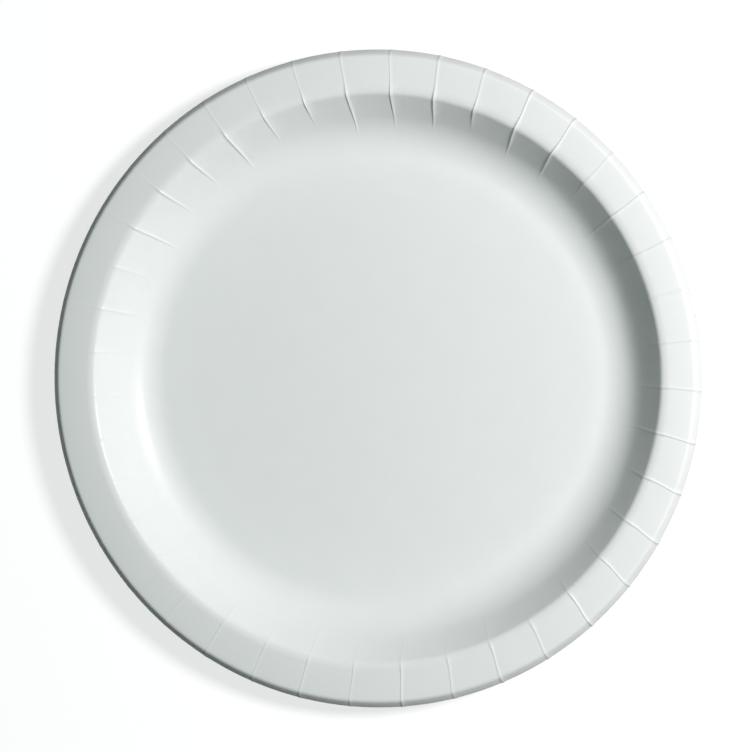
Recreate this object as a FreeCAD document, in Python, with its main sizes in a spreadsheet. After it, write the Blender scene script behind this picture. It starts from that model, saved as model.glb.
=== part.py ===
import FreeCAD, Part
import math
import os
import Sketcher

# A round disposable plate, pressed from one disc of coated paperboard.
# The flat bottom bends up into a sloping wall, the wall bends over a crown into a broad flange, and the flange
# is rolled down at its edge into a lip. The board that the pressing leaves over gathers in radial crimps:
# narrow raised folds that start at the foot of the wall and grow towards the rim. From one crimp to the next
# the board runs straight across, as a panel.
# Millimetres and degrees, +Z up, origin on the table under the middle of the plate.

DIMENSIONS = [
    # name, value, what it measures
    ("outer_diameter", 219.0, "across the rim, over the lip"),
    ("flange_width", 9.9, "from the middle of the crown's bend out to the middle of the lip's"),
    ("crown_height", 15.5, "table to the top of the crown"),
    ("board", 0.45, "thickness of the paperboard"),
    ("wall_angle", 52.0, "rise of the wall above the table"),
    ("flange_fall", 6.0, "fall of the flange towards the rim"),
    ("lip_angle", 57.5, "fall of the lip at its cut edge"),
    ("bottom_bend", 16.5, "radius of the bend at the foot of the wall, on the upper face"),
    ("crown_bend", 3.0, "radius over the crown, on the upper face"),
    ("lip_bend", 3.1, "radius of the lip, on the upper face"),
    ("crimp_count", 40, "crimps around the rim"),
    ("crimp_phase", 5.7, "angle from the X axis to the first crimp"),
    ("crimp_half_angle", 0.36, "angle from a crimp's crest to either side of it"),
    ("crimp_rise_crown", 0.22, "height of a crimp's crest over the crown"),
    ("crimp_rise_lip", 0.38, "height of a crimp's crest over the lip"),
    ("foot_inset", 1.0, "from the edge of the flat bottom in to the start of the foot ring"),
]

START, END, CENTRE = 1, 2, 3
ROOT, X_AXIS, Y_AXIS = -1, -1, -2

doc = FreeCAD.newDocument("paper_plate")
sheet = doc.addObject("Spreadsheet::Sheet", "dims")
for row, (alias, value, meaning) in enumerate(DIMENSIONS, start=1):
    sheet.set(f"A{row}", alias)
    sheet.set(f"B{row}", str(value))
    sheet.set(f"C{row}", meaning)
    sheet.setAlias(f"B{row}", alias)
doc.recompute()

plate = doc.addObject("PartDesign::Body", "plate")
plate.Label = "plate"


def origin_feature(role):
    """The plane or axis of the body's origin that has this role."""
    return next(item for item in plate.Origin.OriginFeatures if item.Role == role)


def new_sketch(name, plane, turn=None):
    """A sketch on one of the body's planes, swung about the plate's axis by the angle that a formula gives."""
    sketch = plate.newObject("Sketcher::SketchObject", name)
    sketch.AttachmentSupport = [(origin_feature(plane), "")]
    sketch.MapMode = "FlatFace"
    if turn:
        upright = FreeCAD.Vector(0, 1, 0)
        sketch.AttachmentOffset = FreeCAD.Placement(FreeCAD.Vector(), FreeCAD.Rotation(upright, 1.0))
        sketch.setExpression("AttachmentOffset.Rotation.Angle", turn)
    return sketch


def rule(sketch, kind, *where):
    """A geometric constraint."""
    sketch.addConstraint(Sketcher.Constraint(kind, *where))


def size(sketch, name, kind, where, formula):
    """A named dimension that follows a formula."""
    result = sketch.evalExpression(formula)
    value = float(getattr(result, "Value", result))
    if kind == "Angle":
        value = math.radians(value)
    index = sketch.addConstraint(Sketcher.Constraint(kind, *where, value))
    sketch.renameConstraint(index, name)
    sketch.setExpression(f"Constraints.{name}", formula)


def read_off(sketch, name, kind, where):
    """A named dimension that only measures, for another sketch to follow."""
    index = sketch.addConstraint(Sketcher.Constraint(kind, *where, 1.0))
    sketch.setDriving(index, False)
    sketch.renameConstraint(index, name)


def along(rise):
    """Direction outwards over a face that rises at this angle, or falls if it is negative."""
    return FreeCAD.Vector(math.cos(math.radians(rise)), math.sin(math.radians(rise)), 0)


def square_to(rise):
    """Direction square to that face, out of the upper side of the board."""
    return FreeCAD.Vector(-math.sin(math.radians(rise)), math.cos(math.radians(rise)), 0)


def bends():
    """Centre, radius, side and slopes before and after of each bend of the plain section, outwards.

    The side is -1 where the centre is above the board and 1 where it is under it.
    """
    wall, fall, lip = sheet.wall_angle, -sheet.flange_fall, -sheet.lip_angle
    rim_out = sheet.outer_diameter / 2 - square_to(lip).x * sheet.lip_bend
    crown = FreeCAD.Vector(rim_out - sheet.flange_width, sheet.crown_height - sheet.crown_bend, 0)
    over = crown + square_to(fall) * (sheet.crown_bend - sheet.lip_bend)
    rim = over + along(fall) * ((rim_out - over.x) / along(fall).x)
    wall_top = crown + square_to(wall) * sheet.crown_bend
    foot_up = sheet.board + sheet.bottom_bend * (1 - square_to(wall).y)
    foot = wall_top - along(wall) * ((wall_top.y - foot_up) / along(wall).y)
    bottom = foot + square_to(wall) * sheet.bottom_bend
    return [
        (bottom, sheet.bottom_bend, -1, 0.0, wall),
        (crown, sheet.crown_bend, 1, wall, fall),
        (rim, sheet.lip_bend, 1, fall, lip),
    ]


def face_outline(inner, depth):
    """Lines and arcs of the face this far under the upper one, from the inner end to the cut edge."""
    point = FreeCAD.Vector(inner, sheet.board - depth, 0)
    outline = []
    for centre, radius, side, before, after in bends():
        reach = side * radius - depth
        turn = sorted(math.radians(rise + 90 * side) for rise in (before, after))
        circle = Part.Circle(centre, FreeCAD.Vector(0, 0, 1), abs(reach))
        outline.append(Part.LineSegment(point, centre + square_to(before) * reach))
        outline.append(Part.ArcOfCircle(circle, *turn))
        point = centre + square_to(after) * reach
    return outline, point


def profile_sketch():
    """The board's plain section, whole: two chains of lines and tangent arcs about shared centres.

    It is set by the plate's slopes, height and reach, and the sections that are ruled together follow it.
    """
    upper, upper_end = face_outline(0.0, 0.0)
    under, under_end = face_outline(0.0, sheet.board)
    sketch = new_sketch("profile", "XZ_Plane")
    sketch.addGeometry(upper + under + [Part.LineSegment(under_end, upper_end)])
    flat, bottom, wall, crown, flange, lip = range(6)
    below, cut = 6, 12
    for first in (0, below):
        rule(sketch, "Horizontal", first + flat)
        rule(sketch, "PointOnObject", first + flat, START, Y_AXIS)
        rule(sketch, "Tangent", first + flat, END, first + bottom, START)
        rule(sketch, "Tangent", first + bottom, END, first + wall, START)
        rule(sketch, "Tangent", first + wall, END, first + crown, END)
        rule(sketch, "Tangent", first + crown, START, first + flange, START)
        rule(sketch, "Tangent", first + flange, END, first + lip, END)
        rule(sketch, "Coincident", cut, END if first == 0 else START, first + lip, START)
    for arc in (bottom, crown, lip):
        rule(sketch, "Coincident", arc, CENTRE, below + arc, CENTRE)
    for line in (wall, flange):
        rule(sketch, "Parallel", line, below + line)
    rule(sketch, "PointOnObject", lip, CENTRE, cut)
    rule(sketch, "PointOnObject", below + flat, START, X_AXIS)
    size(sketch, "board", "DistanceY", (below + flat, START, flat, START), "dims.board")
    size(sketch, "bottom_bend", "Radius", (bottom,), "dims.bottom_bend")
    size(sketch, "wall_angle", "Angle", (wall,), "dims.wall_angle")
    size(sketch, "crown_bend", "Radius", (crown,), "dims.crown_bend")
    size(sketch, "height", "DistanceY", (ROOT, START, crown, CENTRE), "dims.crown_height - dims.crown_bend")
    size(sketch, "flange_width", "DistanceX", (crown, CENTRE, lip, CENTRE), "dims.flange_width")
    size(sketch, "flange_fall", "Angle", (flange,), "-dims.flange_fall")
    size(sketch, "lip_bend", "Radius", (lip,), "dims.lip_bend")
    size(sketch, "lip_angle", "Angle", (cut,), "90 - dims.lip_angle")
    size(sketch, "reach", "DistanceX", (ROOT, START, cut, END), "dims.outer_diameter / 2")
    points = [
        ("flat", bottom, CENTRE),
        ("foot", wall, START),
        ("under_foot", below + wall, START),
        ("crown", crown, CENTRE),
        ("lip", lip, CENTRE),
    ]
    for label, item, point in points:
        read_off(sketch, f"{label}_out", "DistanceX", (ROOT, START, item, point))
        read_off(sketch, f"{label}_up", "DistanceY", (ROOT, START, item, point))
    return sketch


def place(sketch, label, item, point, factor="1", out="0 mm", up="0 mm"):
    """Sets a point of the sketch from the profile's point of that name, drawn in by a factor and then moved."""
    size(sketch, f"{label}_out", "DistanceX", (ROOT, START, item, point),
         f"profile.Constraints.{label}_out * {factor} + {out}")
    size(sketch, f"{label}_up", "DistanceY", (ROOT, START, item, point),
         f"profile.Constraints.{label}_up + {up}")


def foot_section(name, turn):
    """The profile from just inside the flat bottom's edge to the foot of the wall."""
    inner = "profile.Constraints.flat_out - dims.foot_inset * 1 mm"
    inset = FreeCAD.Vector(plate.evalExpression(inner).Value, 0, 0)
    upper, _ = face_outline(inset.x, 0.0)
    under, _ = face_outline(inset.x, sheet.board)
    sketch = new_sketch(name, "XZ_Plane", turn)
    ends = [Part.LineSegment(inset, inset + FreeCAD.Vector(0, sheet.board, 0)),
            Part.LineSegment(under[1].EndPoint, upper[1].EndPoint)]
    sketch.addGeometry(upper[:2] + under[:2] + ends)
    flat, bottom, under_flat, under_bottom, inner_end, foot_end = range(6)
    for line, arc, end in ((flat, bottom, END), (under_flat, under_bottom, START)):
        rule(sketch, "Horizontal", line)
        rule(sketch, "Tangent", line, END, arc, START)
        rule(sketch, "Coincident", inner_end, end, line, START)
        rule(sketch, "Coincident", foot_end, end, arc, END)
    rule(sketch, "Coincident", bottom, CENTRE, under_bottom, CENTRE)
    rule(sketch, "PointOnObject", bottom, CENTRE, foot_end)
    rule(sketch, "Vertical", inner_end)
    rule(sketch, "PointOnObject", inner_end, START, X_AXIS)
    size(sketch, "inner", "DistanceX", (ROOT, START, inner_end, START), inner)
    size(sketch, "board", "DistanceY", (inner_end, START, inner_end, END), "dims.board")
    size(sketch, "flat", "DistanceX", (ROOT, START, bottom, CENTRE), "profile.Constraints.flat_out")
    size(sketch, "bottom_bend", "Radius", (bottom,), "dims.bottom_bend")
    size(sketch, "foot_angle", "Angle", (foot_end,), "90 + dims.wall_angle")
    return sketch


def rim_section(name, turn, draw_in="1", crown_rise="0", lip_rise="0"):
    """The profile from the foot of the wall to the lip's cut edge.

    Its foot is drawn in towards the axis by a factor, onto the straight chord where the foot ring ends. The
    crown and the lip can be raised squarely off the profile, as they are in a crimp's crest.
    """
    upper, upper_end = face_outline(0.0, 0.0)
    under, under_end = face_outline(0.0, sheet.board)
    sketch = new_sketch(name, "XZ_Plane", turn)
    sketch.addGeometry(upper[2:] + under[2:] + [Part.LineSegment(under_end, upper_end),
                                                Part.LineSegment(under[2].StartPoint, upper[2].StartPoint)])
    wall, crown, flange, lip = range(4)
    below, cut, foot_end = 4, 8, 9
    for first, end in ((0, END), (below, START)):
        rule(sketch, "Coincident", foot_end, end, first + wall, START)
        rule(sketch, "Tangent", first + wall, END, first + crown, END)
        rule(sketch, "Tangent", first + crown, START, first + flange, START)
        rule(sketch, "Tangent", first + flange, END, first + lip, END)
        rule(sketch, "Coincident", cut, end, first + lip, START)
    for arc in (crown, lip):
        rule(sketch, "Coincident", arc, CENTRE, below + arc, CENTRE)
    rule(sketch, "Parallel", flange, below + flange)
    rule(sketch, "PointOnObject", lip, CENTRE, cut)
    size(sketch, "crown_bend", "Radius", (crown,), "dims.crown_bend")
    size(sketch, "under_crown_bend", "Radius", (below + crown,), "dims.crown_bend - dims.board")
    size(sketch, "lip_bend", "Radius", (lip,), "dims.lip_bend")
    size(sketch, "lip_angle", "Angle", (cut,), "90 - dims.lip_angle")
    place(sketch, "foot", wall, START, draw_in)
    place(sketch, "under_foot", below + wall, START, draw_in)
    raised = [
        ("crown", crown, crown_rise, "-dims.wall_angle", "dims.flange_fall"),
        ("lip", lip, lip_rise, "dims.flange_fall", "dims.lip_angle"),
    ]
    for label, arc, rise, before, after in raised:
        lean = f"({before} + {after}) / 2"
        lift = f"{rise} * 1 mm / cos(({after} - {before}) / 2)"
        place(sketch, label, arc, CENTRE, out=f"{lift} * sin({lean})", up=f"{lift} * cos({lean})")
    return sketch


profile_sketch()
doc.recompute()

# The middle of the flat bottom, a disc whose edge lies within the flat inner end of the foot ring.

middle_outline = new_sketch("middle_outline", "XY_Plane")
middle_outline.addGeometry(Part.Circle(FreeCAD.Vector(), FreeCAD.Vector(0, 0, 1), sheet.outer_diameter / 2))
rule(middle_outline, "Coincident", 0, CENTRE, ROOT, START)
size(middle_outline, "radius", "Radius", (0,), "profile.Constraints.flat_out - dims.foot_inset * 0.5 mm")
middle = plate.newObject("PartDesign::Pad", "middle")
middle.Profile = (middle_outline, "")
middle.setExpression("Length", "dims.board")

# The bend around the bottom: a narrow strip under each crimp, and a wide one straight across to the next.

HALF = "dims.crimp_half_angle"
PITCH = "360 / dims.crimp_count"
NEAR = f"dims.crimp_phase - {HALF}"
FAR = f"dims.crimp_phase + {HALF}"
NEXT = f"dims.crimp_phase + {PITCH} - {HALF}"
foot = plate.newObject("PartDesign::AdditiveLoft", "foot")
foot.Profile = (foot_section("foot_near", NEAR), [""])
foot.Sections = [(foot_section("foot_far", FAR), [""]), (foot_section("foot_next", NEXT), [""])]
foot.Ruled = True

# One crimp and the panel beside it: the rim's section at the crimp's two sides, raised at its crest between
# them, and once more at the near side of the next crimp, ruled straight from each to the next.

near_side = rim_section("near_side", NEAR)
crest = rim_section("crest", "dims.crimp_phase", f"cos({HALF})", "dims.crimp_rise_crown", "dims.crimp_rise_lip")
far_side = rim_section("far_side", FAR)
next_side = rim_section("next_side", NEXT)
panel = plate.newObject("PartDesign::AdditiveLoft", "panel")
panel.Profile = (near_side, [""])
panel.Sections = [(crest, [""]), (far_side, [""]), (next_side, [""])]
panel.Ruled = True
doc.recompute()

# The same bend, crimp and panel all the way round.

rim = plate.newObject("PartDesign::PolarPattern", "rim")
rim.Originals = [foot, panel]
rim.Axis = (origin_feature("Z_Axis"), [""])
rim.Angle = 360
rim.setExpression("Occurrences", "dims.crimp_count")
plate.Tip = rim
doc.recompute()

failed = [item.Name for item in doc.Objects if "Invalid" in item.State or "Error" in item.State]
if failed:
    raise RuntimeError(f"these did not compute: {failed}")
if plate.Shape.isNull() or not plate.Shape.isValid() or len(plate.Shape.Solids) != 1:
    raise RuntimeError("the plate is not one valid solid")

os.makedirs("parts", exist_ok=True)
plate.Shape.exportStep(f"parts/{plate.Label}.step")
print(f"{plate.Label}: volume {plate.Shape.Volume:.1f} mm3, {len(plate.Shape.Faces)} faces")
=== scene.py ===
import math

import bpy
import numpy as np
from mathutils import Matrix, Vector


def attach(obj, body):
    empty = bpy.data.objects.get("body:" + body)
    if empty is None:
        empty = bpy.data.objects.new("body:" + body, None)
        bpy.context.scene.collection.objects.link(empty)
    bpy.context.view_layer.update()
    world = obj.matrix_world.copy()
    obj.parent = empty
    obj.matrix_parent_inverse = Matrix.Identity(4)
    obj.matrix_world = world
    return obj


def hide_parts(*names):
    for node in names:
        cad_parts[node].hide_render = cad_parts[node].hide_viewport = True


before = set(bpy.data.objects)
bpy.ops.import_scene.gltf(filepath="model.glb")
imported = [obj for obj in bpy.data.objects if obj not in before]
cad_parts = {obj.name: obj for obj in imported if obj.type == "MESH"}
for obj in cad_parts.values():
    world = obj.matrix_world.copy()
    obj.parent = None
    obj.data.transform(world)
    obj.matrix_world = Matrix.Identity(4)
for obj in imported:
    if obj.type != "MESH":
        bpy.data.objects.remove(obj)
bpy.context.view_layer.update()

# The camera stands a metre over the table and leans a little to the right of straight down, so the left
# wall of the dish shows more than the right one. Its frame is square.

scene = bpy.context.scene
LEAN_RIGHT = math.radians(10.23)
LEAN_UP = math.radians(0.85)
CAMERA_DISTANCE = 1.0
LENS_MM = 142.06
SENSOR_MM = 36.0
FRAME_PX = 752
AIM_PX = (2.5, 2.4)
FARTHEST = 50.0

camera_data = bpy.data.cameras.new("camera")
camera_data.lens = LENS_MM
camera_data.sensor_width = SENSOR_MM
camera_data.sensor_fit = "HORIZONTAL"
camera_data.shift_x = -AIM_PX[0] / FRAME_PX
camera_data.shift_y = AIM_PX[1] / FRAME_PX
camera_data.clip_end = FARTHEST
camera = bpy.data.objects.new("camera", camera_data)
scene.collection.objects.link(camera)
lean = math.hypot(LEAN_RIGHT, LEAN_UP)
sight = Vector((math.sin(lean) * LEAN_RIGHT / lean, math.sin(lean) * LEAN_UP / lean, math.cos(lean)))
camera.location = sight * CAMERA_DISTANCE
camera.rotation_mode = "QUATERNION"
camera.rotation_quaternion = Vector((0, 0, 1)).rotation_difference(sight)
scene.camera = camera

# The plate is one disc of white coated board, pressed hot between two dies. Its section runs from the
# slightly domed bottom over a bend, a sloping wall, a tight crown and a broad flange to the turned-down lip.
# It rests on the ring just inside the bend.

MM = 0.001
BOARD = 0.45 * MM
OUTER_RADIUS = 109.5 * MM
FLAT_RADIUS = 74.4 * MM
REST_RING = 5.0 * MM
MIDDLE = 6.0 * MM
STRETCHES = [
    # length in mm, slope at its end in degrees, rows of faces along it
    (33.4, -0.2, 2),
    (28.5, -0.5, 2),
    (6.5, -3.4, 4),
    (8.2, 25.0, 8),
    (7.75, 52.0, 7),
    (10.1, 52.0, 7),
    (1.72, 14.0, 7),
    (2.09, -0.5, 5),
    (8.95, -4.0, 7),
    (1.46, -50.0, 7),
    (2.9, -62.0, 6),
]


def stretch(start, before, after, length, count):
    """Radius, height and slope along a stretch whose slope turns evenly from before to after.

    After a length s the slope is before + t, and the point lies s * sin(t / 2) / (t / 2) away from the
    start, in the direction before + t / 2. The last row is given apart, as the next stretch starts there.
    """
    part = np.arange(count + 1) / count
    turn = (after - before) * part
    chord = length * part * np.sinc(turn / (2 * math.pi))
    middle = before + turn / 2
    radius = start[0] + chord * np.cos(middle)
    height = start[1] + chord * np.sin(middle)
    rows = np.stack([radius, height, before + turn], axis=1)
    return rows[:-1], rows[-1]


def section_rows():
    """Radius, height and slope of each row of the upper face, from near the middle to the cut edge.

    Outside the bottom the radii are drawn out evenly, so that the edge reaches the outer radius. The lowest
    ring of the upper face then lies one board thickness over the table.
    """
    rows = []
    end = np.array([MIDDLE, 0.0, 0.0])
    for length, slope, count in STRETCHES:
        part, end = stretch(end[:2], end[2], math.radians(slope), length * MM, count)
        rows.append(part)
    rows = np.vstack(rows + [end[None, :]])
    rows[:, 0] *= np.interp(rows[:, 0], [FLAT_RADIUS, end[0]], [1.0, OUTER_RADIUS / end[0]])
    rows[:, 1] += BOARD - rows[rows[:, 0] < FLAT_RADIUS + REST_RING, 1].min()
    return rows


# The board that the pressing leaves over gathers in forty crimps, one at each score. The scored disc lies a
# little off the dies' centre, so the crimps point to a place 3 mm from the middle. The press irons them
# nearly flat on the left of the flange and at the near side of the wall, and no two fold quite alike.

CRIMPS = 40
PHASE = math.radians(5.4)
SCORES = PHASE + np.arange(CRIMPS) * 2 * math.pi / CRIMPS
SCORE_CENTRE = np.array([-0.2, 3.0]) * MM
SCORE_INNER = 60 * MM
rng = np.random.default_rng(40)

# The columns of faces stand close together across a fold and evenly over the panel between two folds. The
# panels count as a metre away from any crest, so they stay plain.

FOLD_HALF = np.array([0.07, 0.15, 0.25, 0.38, 0.55, 0.85, 1.4]) * MM
FOLD = np.concatenate([-FOLD_HALF[::-1], [0.0], FOLD_HALF])
PANEL_PARTS = 5
PANEL = np.arange(1, PANEL_PARTS) / PANEL_PARTS
CLEAR_OF_FOLDS = 1.0

# Heights and half widths of the crimps at places out from the middle, all in mm. The crimps are firmest in
# one direction on the wall and in another on the flange, and fade to a least share opposite. Each differs a
# little from the next.

HEIGHT_PLACES = [83.5, 93.5, 97, 100, 106, 109.5]
HEIGHTS = [0.0, 0.32, 0.30, 0.16, 0.16, 0.30]
WIDTH_PLACES = [83.5, 94, 97, 100, 106, 109.5]
HALF_WIDTHS = [0.22, 0.44, 0.42, 0.28, 0.30, 0.60]
CREST_POWER = 1.3
VALLEY_DEPTH, VALLEY_PLACE, VALLEY_WIDTH = 0.16, 2.1, 0.7
CROWN_PLACES = [94.5, 98.5]
WALL_FIRMEST, WALL_LEAST, WALL_FADE = math.radians(85.0), 0.12, 1.5
FLANGE_FIRMEST, FLANGE_LEAST = math.radians(355.0), 0.08
WANDER = math.radians(0.16)
RISE_SPREAD = 0.15
BROAD_SPREAD = 0.10
SKEW_SPREAD, SKEW_LEAN = 0.15, 0.35
BEGIN_SPREAD, BEGIN_WITHIN = 1.7, 92 * MM

# Board moves more across its grain than along it, so the pressed form is a little oval: wider from side to
# side and narrower from near to far. It also lies a little to the right of the rim, which stays round.

ALONG_GRAIN = 0.0055
ACROSS_GRAIN = 0.006
PRESS_OFFSET = np.array([1.25, 0.20]) * MM
CROWN_OFFSET = 1.00 * MM
OFFSET_PLACES = [88, 96, 109.5]
RIM_PLACES = [98, 109.5]


def crimp_angles(radius, wander):
    """Angle of each crimp where it crosses this radius.

    It is the score's own angle plus the arc sine of the score's sideways offset over the radius.
    """
    score = SCORES + wander
    offset = SCORE_CENTRE[1] * np.cos(score) - SCORE_CENTRE[0] * np.sin(score)
    return score + np.arcsin(offset / np.maximum(radius, SCORE_INNER)[:, None])


def along(radius, places, values):
    """Value at this radius, running smoothly from each place in mm to the next.

    The step between two places is (1 - cos(pi * part)) / 2, and a point just short of the last place stands
    for it.
    """
    place = np.interp(radius, np.array(places) * MM, np.arange(len(places)))
    place = np.clip(place, 0, len(places) - 1.001)
    first = place.astype(int)
    part = (1 - np.cos(math.pi * (place - first))) / 2
    values = np.array(values)
    return values[first] * (1 - part) + values[first + 1] * part


def ridge(x):
    """Height across a crimp, for x in half widths: a sharp crest between two shallow valleys.

    The crest is exp(-|x| ** CREST_POWER), and a bell curve is taken from it on each side for the valley.
    """
    valley = VALLEY_DEPTH * np.exp(-((np.abs(x) - VALLEY_PLACE) / VALLEY_WIDTH) ** 2)
    return np.exp(-np.abs(x) ** CREST_POWER) - valley


def pressed_board():
    """Vertices of the upper and the under face: rows out from the middle, columns around it.

    Each column keeps its place beside a crimp. A point is the section's point, moved square to the section
    by the crimp's height there; the under face lies one board thickness below, moved with it.
    """
    rows = section_rows()
    radius, height, slope = rows.T
    wander = rng.normal(0, 1, CRIMPS) * WANDER
    on_wall = WALL_LEAST + (1 - WALL_LEAST) * ((1 + np.cos(SCORES - WALL_FIRMEST)) / 2) ** WALL_FADE
    on_flange = FLANGE_LEAST + (1 - FLANGE_LEAST) * (1 + np.cos(SCORES - FLANGE_FIRMEST)) / 2
    share = along(radius, CROWN_PLACES, [0.0, 1.0])[:, None]
    rise = (1 + RISE_SPREAD * rng.normal(0, 1, CRIMPS)) * (on_wall * (1 - share) + on_flange * share)
    broad = 1 + BROAD_SPREAD * rng.normal(0, 1, CRIMPS)
    skew = rng.uniform(-SKEW_SPREAD, SKEW_SPREAD, CRIMPS) - SKEW_LEAN * np.sin(SCORES)
    begin = BEGIN_SPREAD * rng.normal(0, 1, CRIMPS) * MM

    centre = crimp_angles(radius, wander)
    following = np.roll(centre, -1, axis=1)
    following[:, -1] += 2 * math.pi
    near = centre[:, :, None] + FOLD / OUTER_RADIUS
    gap = following - centre - 2 * FOLD[-1] / OUTER_RADIUS
    far = centre[:, :, None] + FOLD[-1] / OUTER_RADIUS + gap[:, :, None] * PANEL
    angle = np.concatenate([near, far], axis=2)

    aside = np.concatenate([FOLD, np.full(len(PANEL), CLEAR_OF_FOLDS)])
    aside = aside[None, None, :] * (radius / OUTER_RADIUS)[:, None, None]
    start = radius[:, None] - begin * (radius < BEGIN_WITHIN)[:, None]
    grow = along(start, HEIGHT_PLACES, HEIGHTS) * MM
    width = along(radius, WIDTH_PLACES, HALF_WIDTHS)[:, None] * broad * MM
    lean_width = width[:, :, None] * (1 + skew[None, :, None] * np.sign(aside))
    lift = (grow * rise)[:, :, None] * ridge(aside / lean_width)

    columns = CRIMPS * angle.shape[2]
    angle = angle.reshape(len(rows), columns)
    lift = lift.reshape(len(rows), columns)
    inside = 1 - along(radius, RIM_PLACES, [0.0, 1.0])[:, None]
    shift = along(radius, OFFSET_PLACES, [PRESS_OFFSET[0], CROWN_OFFSET, 0.0])[:, None]
    faces = []
    for depth in (0.0, BOARD):
        out = radius[:, None] - (lift - depth) * np.sin(slope)[:, None]
        up = height[:, None] + (lift - depth) * np.cos(slope)[:, None]
        x = out * np.cos(angle) * (1 + inside * ALONG_GRAIN) + shift
        y = out * np.sin(angle) * (1 - inside * ACROSS_GRAIN) + inside * PRESS_OFFSET[1]
        faces.append(np.stack([x, y, up], axis=2))
    return faces


# The two faces close into one mesh. Each face of it shows the coated side, the bare side or the cut edge.

COATED, BARE, CUT = 0, 1, 2
CREASE = math.radians(50)


def closed_grid(upper, under):
    """One closed mesh of both faces: rows of four-sided faces, a ring across the cut edge, and two fans."""
    rows, columns = upper.shape[:2]
    ring = np.arange(rows * columns).reshape(rows, columns)
    loop = np.vstack([ring, ring[::-1] + rows * columns])
    after = np.roll(loop, -1, axis=1)
    quads = np.stack([loop[:-1], loop[1:], after[1:], after[:-1]], axis=2).reshape(-1, 4)
    top, base = 2 * rows * columns, 2 * rows * columns + 1
    fan_top = np.stack([np.full(columns, top), loop[0], after[0]], axis=1)
    fan_base = np.stack([np.full(columns, base), after[-1], loop[-1]], axis=1)
    middle = np.array([upper[0].mean(axis=0), under[0].mean(axis=0)])
    points = np.vstack([upper.reshape(-1, 3), under.reshape(-1, 3), middle])
    polygons = quads.tolist() + fan_top.tolist() + fan_base.tolist()
    side = np.repeat([COATED, CUT, BARE, COATED, BARE], np.array([rows - 1, 1, rows - 1, 1, 1]) * columns)
    return points, polygons, side


upper, under = pressed_board()
points, polygons, side = closed_grid(upper, under)
plate_mesh = bpy.data.meshes.new("paper_plate")
plate_mesh.from_pydata(points, [], polygons)
plate_mesh.polygons.foreach_set("material_index", side)
plate = bpy.data.objects.new("paper_plate", plate_mesh)
scene.collection.objects.link(plate)
plate_mesh.polygons.foreach_set("use_smooth", np.ones(len(plate_mesh.polygons), dtype=bool))
plate_mesh.set_sharp_from_angle(angle=CREASE)
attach(plate, "root")
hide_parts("plate")

# The board is white fibre all through. Its upper face has a smooth clay coat with a low sheen, the under face
# is bare and a little rougher, and the cut edge shows the fibres end on.

FIBRE_LAY = (0.4, 1.0, 1.0)
GRAIN_DETAIL, GRAIN_ROUGHNESS = 5.0, 0.6
CLOUD_DETAIL = 3.0
GRAIN_RANGE = (0.3, 0.7)
GLOSS = 0.30
COAT_ROUGHNESS = 0.20

fibre = bpy.data.node_groups.new("board_fibre", "ShaderNodeTree")
fibre.interface.new_socket("Grain Scale", in_out="INPUT", socket_type="NodeSocketFloat")
fibre.interface.new_socket("Cloud Scale", in_out="INPUT", socket_type="NodeSocketFloat")
fibre.interface.new_socket("Grain", in_out="OUTPUT", socket_type="NodeSocketFloat")
fibre.interface.new_socket("Clouds", in_out="OUTPUT", socket_type="NodeSocketFloat")
nodes, links = fibre.nodes, fibre.links
inlet = nodes.new("NodeGroupInput")
outlet = nodes.new("NodeGroupOutput")
place = nodes.new("ShaderNodeTexCoord")
lay = nodes.new("ShaderNodeMapping")
lay.inputs["Scale"].default_value = FIBRE_LAY
links.new(place.outputs["Object"], lay.inputs["Vector"])
grain = nodes.new("ShaderNodeTexNoise")
grain.inputs["Detail"].default_value = GRAIN_DETAIL
grain.inputs["Roughness"].default_value = GRAIN_ROUGHNESS
links.new(lay.outputs[0], grain.inputs["Vector"])
links.new(inlet.outputs["Grain Scale"], grain.inputs["Scale"])
clouds = nodes.new("ShaderNodeTexNoise")
clouds.inputs["Detail"].default_value = CLOUD_DETAIL
links.new(place.outputs["Object"], clouds.inputs["Vector"])
links.new(inlet.outputs["Cloud Scale"], clouds.inputs["Scale"])
links.new(grain.outputs["Fac"], outlet.inputs["Grain"])
links.new(clouds.outputs["Fac"], outlet.inputs["Clouds"])


def board_finish(name, light, shade, rough, spread, grain_scale, cloud_scale, relief, coat):
    """A board surface: its colour lies between two near tones, after the clouds.

    Its roughness and its relief, in mm, follow the grain.
    """
    material = bpy.data.materials.new(name)
    material.use_nodes = True
    nodes, links = material.node_tree.nodes, material.node_tree.links
    shader = nodes["Principled BSDF"]
    shader.inputs["Specular IOR Level"].default_value = GLOSS
    shader.inputs["Coat Weight"].default_value = coat
    shader.inputs["Coat Roughness"].default_value = COAT_ROUGHNESS
    pattern = nodes.new("ShaderNodeGroup")
    pattern.node_tree = fibre
    pattern.inputs["Grain Scale"].default_value = grain_scale
    pattern.inputs["Cloud Scale"].default_value = cloud_scale
    tone = nodes.new("ShaderNodeMix")
    tone.data_type = "RGBA"
    tone.inputs["A"].default_value = (*shade, 1)
    tone.inputs["B"].default_value = (*light, 1)
    links.new(pattern.outputs["Clouds"], tone.inputs["Factor"])
    links.new(tone.outputs["Result"], shader.inputs["Base Color"])
    sheen = nodes.new("ShaderNodeMapRange")
    sheen.inputs["From Min"].default_value = GRAIN_RANGE[0]
    sheen.inputs["From Max"].default_value = GRAIN_RANGE[1]
    sheen.inputs["To Min"].default_value = rough - spread
    sheen.inputs["To Max"].default_value = rough + spread
    links.new(pattern.outputs["Grain"], sheen.inputs["Value"])
    links.new(sheen.outputs["Result"], shader.inputs["Roughness"])
    bump = nodes.new("ShaderNodeBump")
    bump.inputs["Distance"].default_value = relief * MM
    links.new(pattern.outputs["Grain"], bump.inputs["Height"])
    links.new(bump.outputs["Normal"], shader.inputs["Normal"])
    return material


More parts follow.
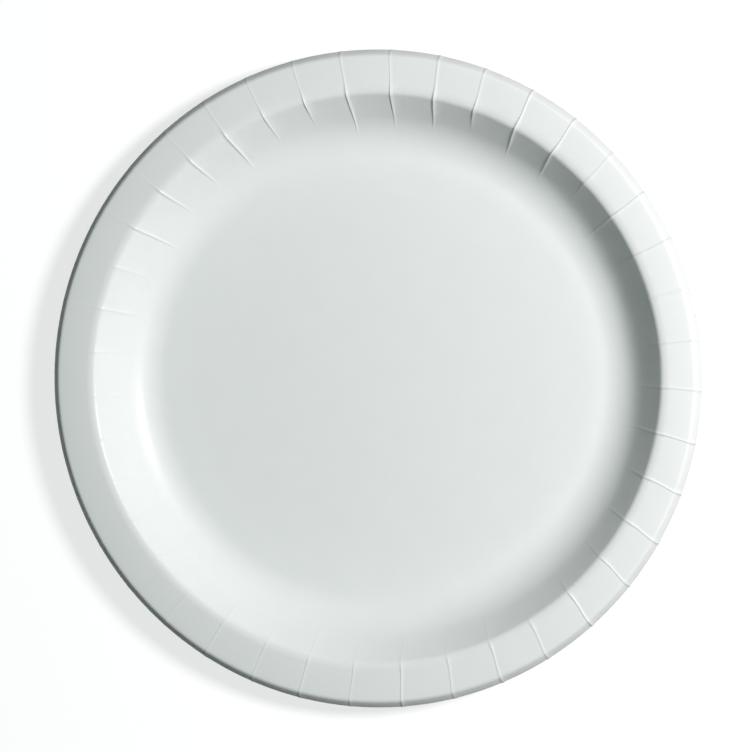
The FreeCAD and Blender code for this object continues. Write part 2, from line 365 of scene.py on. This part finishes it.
plate_mesh.materials.append(board_finish(
    "coated_board", light=(0.840, 0.845, 0.840), shade=(0.805, 0.812, 0.808), rough=0.46, spread=0.08,
    grain_scale=1500, cloud_scale=90, relief=0.02, coat=0.10))
plate_mesh.materials.append(board_finish(
    "bare_board", light=(0.80, 0.80, 0.77), shade=(0.74, 0.74, 0.71), rough=0.72, spread=0.08,
    grain_scale=1100, cloud_scale=140, relief=0.03, coat=0.0))
plate_mesh.materials.append(board_finish(
    "cut_edge", light=(0.80, 0.79, 0.75), shade=(0.66, 0.65, 0.61), rough=0.85, spread=0.05,
    grain_scale=4000, cloud_scale=900, relief=0.05, coat=0.0))

# The table is plain and white where it is seen or mirrored, and it takes the plate's soft shadow. It throws
# little light back on the plate, so the underside and the lip stay dark where they turn away from the lamp.

HALF_TABLE = 6.0
TABLE_HEIGHT = -0.0002
BOUNCE_COLOUR = (0.03, 0.03, 0.03, 1)
SEEN_COLOUR = (0.35, 0.35, 0.35, 1)
SEEN_GLOW = 0.75
floor_mesh = bpy.data.meshes.new("table_top")
corners = [(-HALF_TABLE, -HALF_TABLE, 0), (HALF_TABLE, -HALF_TABLE, 0),
           (HALF_TABLE, HALF_TABLE, 0), (-HALF_TABLE, HALF_TABLE, 0)]
floor_mesh.from_pydata(corners, [], [(0, 1, 2, 3)])
floor = bpy.data.objects.new("table_top", floor_mesh)
scene.collection.objects.link(floor)
floor.location.z = TABLE_HEIGHT
table = bpy.data.materials.new("table_white")
table.use_nodes = True
nodes, links = table.node_tree.nodes, table.node_tree.links
nodes.clear()
output = nodes.new("ShaderNodeOutputMaterial")
dim = nodes.new("ShaderNodeBsdfDiffuse")
dim.inputs["Color"].default_value = BOUNCE_COLOUR
bright = nodes.new("ShaderNodeBsdfDiffuse")
bright.inputs["Color"].default_value = SEEN_COLOUR
glow = nodes.new("ShaderNodeEmission")
glow.inputs["Strength"].default_value = SEEN_GLOW
seen_floor = nodes.new("ShaderNodeAddShader")
links.new(bright.outputs[0], seen_floor.inputs[0])
links.new(glow.outputs[0], seen_floor.inputs[1])
rays = nodes.new("ShaderNodeLightPath")
direct = nodes.new("ShaderNodeMath")
direct.operation = "MAXIMUM"
links.new(rays.outputs["Is Camera Ray"], direct.inputs[0])
links.new(rays.outputs["Is Glossy Ray"], direct.inputs[1])
seen = nodes.new("ShaderNodeMath")
seen.operation = "MAXIMUM"
links.new(direct.outputs[0], seen.inputs[0])
links.new(rays.outputs["Is Transmission Ray"], seen.inputs[1])
either = nodes.new("ShaderNodeMixShader")
links.new(seen.outputs[0], either.inputs[0])
links.new(dim.outputs[0], either.inputs[1])
links.new(seen_floor.outputs[0], either.inputs[2])
links.new(either.outputs[0], output.inputs["Surface"])
floor_mesh.materials.append(table)

# One broad white lamp stands on the right, about halfway up the sky.

KEY_AZIMUTH = math.radians(14.5)
KEY_HEIGHT = math.radians(48.5)
KEY_DISTANCE = 1.0
KEY_SIZE = 0.22
KEY_WATTS = 10.45
lamp_data = bpy.data.lights.new("key", "AREA")
lamp_data.shape = "DISK"
lamp_data.size = KEY_SIZE
lamp_data.energy = KEY_WATTS
lamp = bpy.data.objects.new("key", lamp_data)
scene.collection.objects.link(lamp)
toward = Vector((math.cos(KEY_HEIGHT) * math.cos(KEY_AZIMUTH), math.cos(KEY_HEIGHT) * math.sin(KEY_AZIMUTH),
                 math.sin(KEY_HEIGHT)))
lamp.location = toward * KEY_DISTANCE
lamp.rotation_mode = "QUATERNION"
lamp.rotation_quaternion = toward.to_track_quat("Z", "Y")

# The sky fills the shadows weakly and a little cool. It is dark where a direction rises by less than SKY_LOW
# of its length, and brightest where it rises by SKY_HIGH or more.

SKY_LOW = 0.6
SKY_HIGH = 0.9
SKY_OVERHEAD = 0.235
SKY_COLOUR = (0.62, 1.0, 0.88, 1)
world = bpy.data.worlds.new("sky")
scene.world = world
world.use_nodes = True
nodes, links = world.node_tree.nodes, world.node_tree.links
nodes.clear()
world_output = nodes.new("ShaderNodeOutputWorld")
sky = nodes.new("ShaderNodeBackground")
sky.inputs["Color"].default_value = SKY_COLOUR
direction = nodes.new("ShaderNodeTexCoord")
split = nodes.new("ShaderNodeSeparateXYZ")
links.new(direction.outputs["Generated"], split.inputs[0])
level = nodes.new("ShaderNodeMapRange")
links.new(split.outputs["Z"], level.inputs["Value"])
level.inputs["From Min"].default_value = SKY_LOW
level.inputs["From Max"].default_value = SKY_HIGH
level.inputs["To Min"].default_value = 0.0
level.inputs["To Max"].default_value = SKY_OVERHEAD
links.new(level.outputs[0], sky.inputs["Strength"])
links.new(sky.outputs[0], world_output.inputs["Surface"])

scene.view_settings.view_transform = "Standard"
